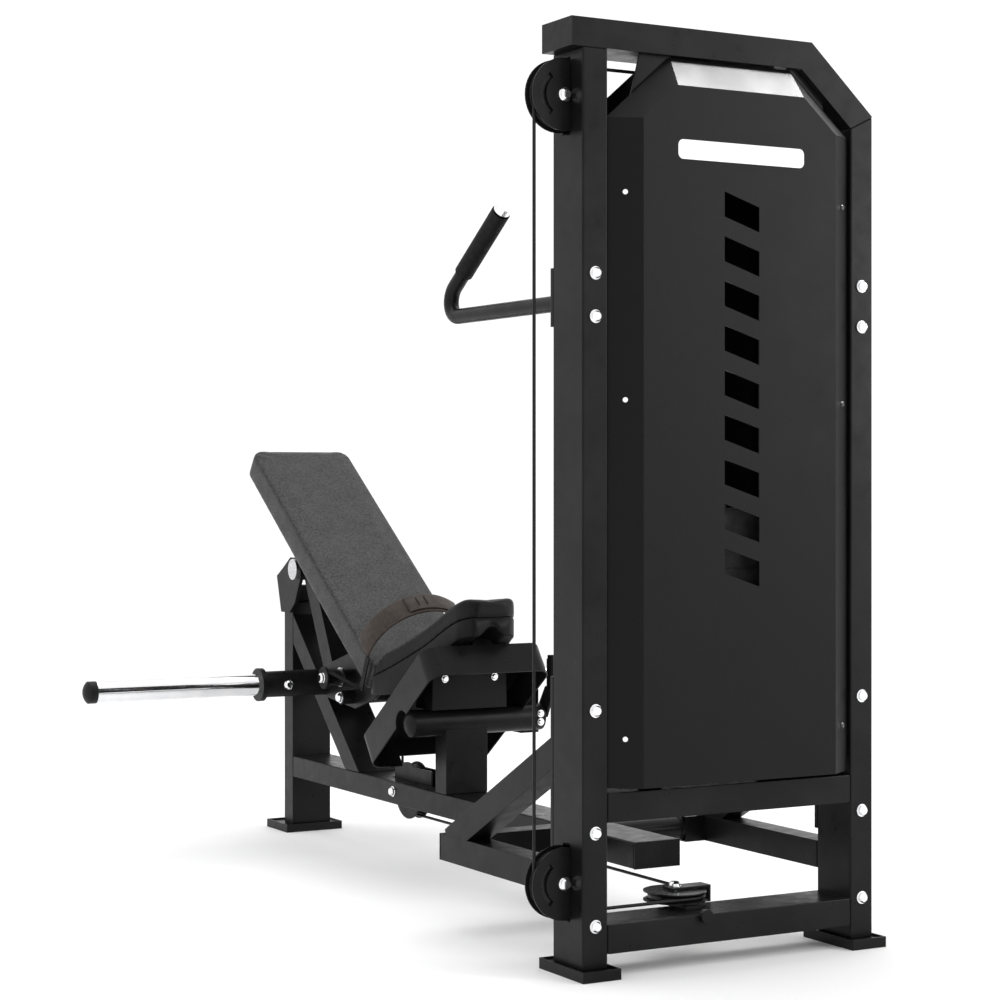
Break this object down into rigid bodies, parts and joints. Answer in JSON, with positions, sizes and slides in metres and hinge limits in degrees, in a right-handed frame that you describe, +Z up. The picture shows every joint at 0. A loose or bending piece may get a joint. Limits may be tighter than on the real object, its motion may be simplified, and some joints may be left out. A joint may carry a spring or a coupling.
{
  "type": "hip thrust machine",
  "caption": "Pin-loaded hip thrust machine: cable weight tower, base beam, hinged bench arm with saddle, hip belt and plate horns.",
  "frame": {"origin": "on the floor, at the middle of the whole machine's box", "axes": "+X to the right seen from the weight tower's front, +Y from the tower to the bench, +Z up"},
  "size_m": [1.312, 1.9163, 1.64],
  "materials": {
    "frame_paint": "satin powder coat",
    "shroud_paint": "fine textured satin paint",
    "chrome": "polished",
    "axle_steel": "turned",
    "black_rubber": "matte",
    "black_plastic": "moulded",
    "pulley_plastic": "moulded nylon",
    "cable_jacket": "smooth jacket",
    "stack_iron": "painted",
    "pin_red": "glossy",
    "upholstery": "grained vinyl",
    "saddle_vinyl": "smooth vinyl",
    "belt_leather": "waxed"
  },
  "bodies": {
    "root": {"left_upright": "frame_paint", "right_upright": "frame_paint", "top_beam": "frame_paint", "middle_cross_beam": "frame_paint", "lower_cross_beam": "frame_paint", "feet": "frame_paint", "handles": "frame_paint", "base_beam": "frame_paint", "side_rails": "frame_paint", "rear_cross_tubes": "frame_paint", "tower_braces": "frame_paint", "bench_upright": "frame_paint", "long_brace": "frame_paint", "axle_bracket": "frame_paint", "rest_post": "frame_paint", "rest_tube": "frame_paint", "rest_tray": "frame_paint", "tray_bracket": "frame_paint", "lever_housing": "frame_paint", "tower_pulley_brackets": "frame_paint", "flat_pulley_bracket": "frame_paint", "beam_pulley_bracket": "frame_paint", "shroud_hangers": "frame_paint", "front_shroud": "shroud_paint", "rear_shroud": "shroud_paint", "frame_bolts": "chrome", "handle_caps": "chrome", "pulley_bolts": "chrome", "guide_rods": "chrome", "axle": "axle_steel", "handle_grips": "black_rubber", "stack_buffers": "black_rubber", "rest_buffer": "black_rubber", "tube_caps": "black_plastic", "cable_run": "cable_jacket", "stack_cable": "cable_jacket", "arm_cable": "cable_jacket", "resting_plates": "stack_iron"},
    "arm": {"arm_tube": "frame_paint", "horn_crossbar": "frame_paint", "plate_horns": "chrome", "horn_caps": "black_plastic", "arm_gussets": "frame_paint", "arm_bolts": "chrome", "strap_posts": "black_plastic", "saddle_carrier": "frame_paint", "saddle_shell": "saddle_vinyl", "saddle_pad": "saddle_vinyl", "pad_board": "black_plastic", "back_pad": "upholstery", "hip_belt": "belt_leather"},
    "stack": {"lifted_plates": "stack_iron", "selector_rod": "chrome"},
    "selector_pin": {"selector_pin": "pin_red"},
    "release_lever": {"release_lever": "black_rubber"},
    "top_inner_pulley": {"top_inner_pulley": "pulley_plastic"},
    "top_outer_pulley": {"top_outer_pulley": "pulley_plastic"},
    "bottom_outer_pulley": {"bottom_outer_pulley": "pulley_plastic"},
    "flat_pulley": {"flat_pulley": "pulley_plastic"},
    "beam_pulley": {"beam_pulley": "pulley_plastic"}
  },
  "joints": [
    {"name": "arm_lift", "type": "hinge", "parent": "root", "child": "arm", "pos_m": [0, 0.818, 0.636], "axis": [-1, 0, 0], "range_deg": [0, 36], "deforming": ["arm_cable"]},
    {"name": "stack_lift", "type": "slide", "parent": "root", "child": "stack", "axis": [0, 0, 1], "range_m": [0, 0.33], "deforming": ["stack_cable"]},
    {"name": "pin_pull", "type": "slide", "parent": "stack", "child": "selector_pin", "axis": [0, 1, 0], "range_m": [0, 0.075]},
    {"name": "lever_pull", "type": "hinge", "parent": "root", "child": "release_lever", "pos_m": [0.202, 0.08, 0.35], "axis": [-1, 0, 0], "range_deg": [0, 25]},
    {"name": "top_inner_pulley_spin", "type": "hinge", "parent": "root", "child": "top_inner_pulley", "pos_m": [-0.0524, -0.874, 1.512], "axis": [0, -1, 0], "range_deg": [0, 360]},
    {"name": "top_outer_pulley_spin", "type": "hinge", "parent": "root", "child": "top_outer_pulley", "pos_m": [-0.322, -0.874, 1.512], "axis": [0, -1, 0], "range_deg": [0, 360]},
    {"name": "bottom_outer_pulley_spin", "type": "hinge", "parent": "root", "child": "bottom_outer_pulley", "pos_m": [-0.322, -0.874, 0.16], "axis": [0, -1, 0], "range_deg": [0, 360]},
    {"name": "flat_pulley_spin", "type": "hinge", "parent": "root", "child": "flat_pulley", "pos_m": [-0.0524, -0.8216, 0.1076], "axis": [0, 0, 1], "range_deg": [0, 360]},
    {"name": "beam_pulley_spin", "type": "hinge", "parent": "root", "child": "beam_pulley", "pos_m": [0, 0.31, 0.16], "axis": [1, 0, 0], "range_deg": [0, 360]}
  ],
  "couplings": [
    {"joint": "stack_lift", "follows": "arm_lift", "m_per_rad": 0.52},
    {"joint": "top_inner_pulley_spin", "follows": "arm_lift", "ratio": 9.9237},
    {"joint": "top_outer_pulley_spin", "follows": "arm_lift", "ratio": 9.9237},
    {"joint": "bottom_outer_pulley_spin", "follows": "arm_lift", "ratio": 9.9237},
    {"joint": "flat_pulley_spin", "follows": "arm_lift", "ratio": 9.9237},
    {"joint": "beam_pulley_spin", "follows": "arm_lift", "ratio": 9.9237}
  ]
}
